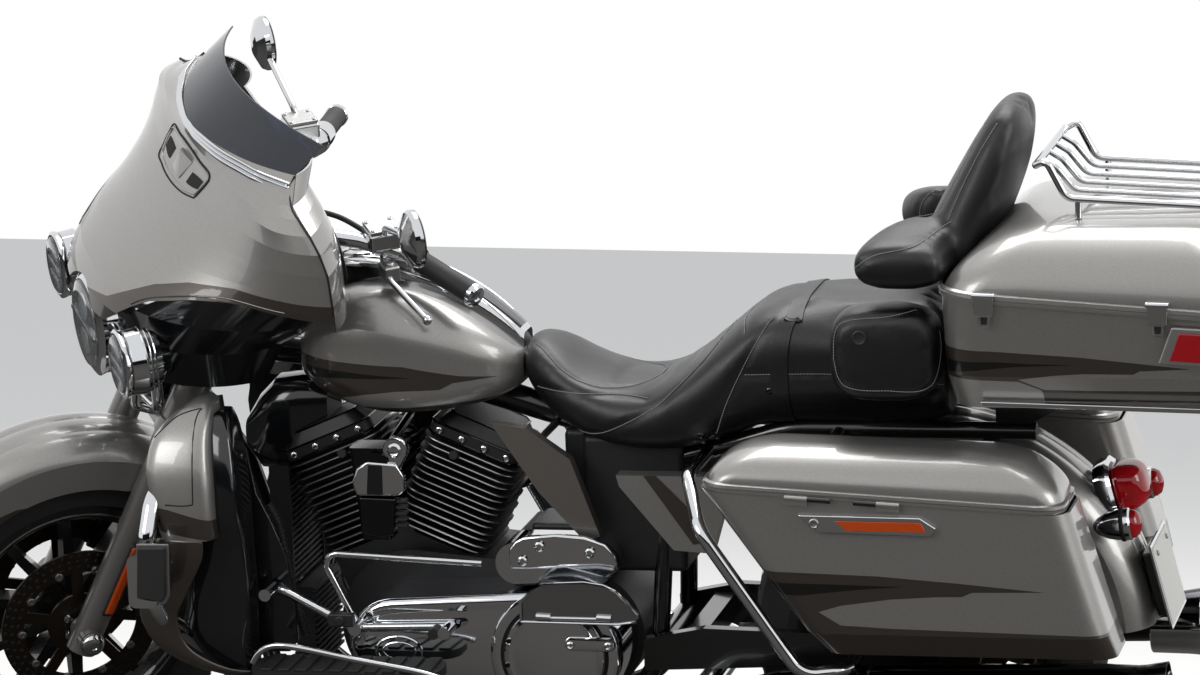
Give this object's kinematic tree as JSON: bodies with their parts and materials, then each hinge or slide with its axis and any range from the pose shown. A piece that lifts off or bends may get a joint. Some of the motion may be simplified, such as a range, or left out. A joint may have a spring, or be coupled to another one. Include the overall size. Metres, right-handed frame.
{
  "type": "touring cruiser motorcycle",
  "caption": "Touring cruiser motorcycle on its side stand: steerable fork with fairing, spinning wheels, opening trunk and saddlebag lids, folding stand.",
  "frame": {"origin": "middle of the machine's footprint, on the floor it stands on", "axes": "front towards -X, rider's left towards -Y, up +Z; the machine leans to the left on its side stand"},
  "size_m": [2.5232, 0.9382, 1.4042],
  "materials": {
    "silver_paint": "gloss",
    "black_paint": "gloss",
    "dark_paint": "gloss",
    "engine_black": "satin",
    "chrome": "polished",
    "cast_aluminium": "satin",
    "disc_steel": "brushed",
    "tyre_rubber": "matt",
    "black_plastic": "gloss",
    "tinted_screen": "clear",
    "black_leather": "satin",
    "lamp_lens": "gloss",
    "pad_rubber": "matt"
  },
  "bodies": {
    "chassis": {"air_cleaner": "chrome", "bag_guards": "chrome", "bag_left": "silver_paint", "bag_right": "silver_paint", "cylinders": "engine_black", "engine_cases": "engine_black", "engine_guard": "chrome", "exhaust_pipes": "chrome", "footboards": "pad_rubber", "frame": "black_paint", "fuel_tank": "silver_paint", "horn_cover": "chrome", "lower_fairings": "silver_paint", "luggage_carrier": "black_paint", "mid_deflectors": "dark_paint", "mufflers": "black_paint", "primary_cover": "chrome", "rear_fender": "silver_paint", "rear_lamps": "lamp_lens", "rocker_covers": "engine_black", "seat": "black_leather", "seat_pods": "black_leather", "shift_linkage": "chrome", "shocks": "black_paint", "side_covers": "silver_paint", "swingarm": "black_paint", "tank_console": "chrome", "trunk_body": "silver_paint"},
    "steering": {"fairing_chin": "black_plastic", "fork": "silver_paint", "front_calipers": "black_paint", "front_fender": "silver_paint", "handlebar": "chrome", "headlight": "chrome", "inner_fairing": "silver_paint", "mirrors": "chrome", "outer_fairing": "silver_paint", "passing_lamps": "chrome", "windshield": "tinted_screen"},
    "front_wheel": {"front_discs": "disc_steel", "front_rim": "cast_aluminium", "front_tyre": "tyre_rubber"},
    "rear_wheel": {"rear_rim": "cast_aluminium", "rear_rotors": "disc_steel", "rear_tyre": "tyre_rubber"},
    "side_stand": {"side_stand": "black_paint"},
    "trunk_lid": {"backrest": "black_leather", "luggage_rack": "chrome", "trunk_lid": "silver_paint"},
    "bag_lid_left": {"bag_lid_left": "silver_paint"},
    "bag_lid_right": {"bag_lid_right": "silver_paint"}
  },
  "joints": [
    {"name": "steering", "type": "hinge", "parent": "chassis", "child": "steering", "pos_m": [-0.75716, -0.05408, 0.78304], "axis": [0.4281, -0.1561, 0.8901], "range_deg": [-72, 0]},
    {"name": "front_wheel_spin", "type": "hinge", "parent": "steering", "child": "front_wheel", "pos_m": [-0.97831, 0.03789, 0.30128], "axis": [-0.5328, 0.752, 0.3881], "continuous": true},
    {"name": "rear_wheel_spin", "type": "hinge", "parent": "chassis", "child": "rear_wheel", "pos_m": [0.64875, 0.03082, 0.31771], "axis": [-0.002, 0.9848, 0.1736], "continuous": true},
    {"name": "side_stand_fold", "type": "hinge", "parent": "chassis", "child": "side_stand", "pos_m": [-0.11205, -0.10389, 0.12272], "axis": [-0.0929, -0.5792, 0.8099], "range_deg": [0, 121.95]},
    {"name": "trunk_lid_hinge", "type": "hinge", "parent": "chassis", "child": "trunk_lid", "pos_m": [0.71551, 0.24178, 1.03403], "axis": [-0.9983, -0.0121, 0.0572], "range_deg": [0, 80]},
    {"name": "bag_lid_left_hinge", "type": "hinge", "parent": "chassis", "child": "bag_lid_left", "pos_m": [0.32066, -0.46263, 0.58437], "axis": [0.999, 0.0097, -0.0435], "range_deg": [0, 75]},
    {"name": "bag_lid_right_hinge", "type": "hinge", "parent": "chassis", "child": "bag_lid_right", "pos_m": [0.3189, 0.40203, 0.73683], "axis": [-0.999, -0.0097, 0.0435], "range_deg": [0, 75]}
  ]
}
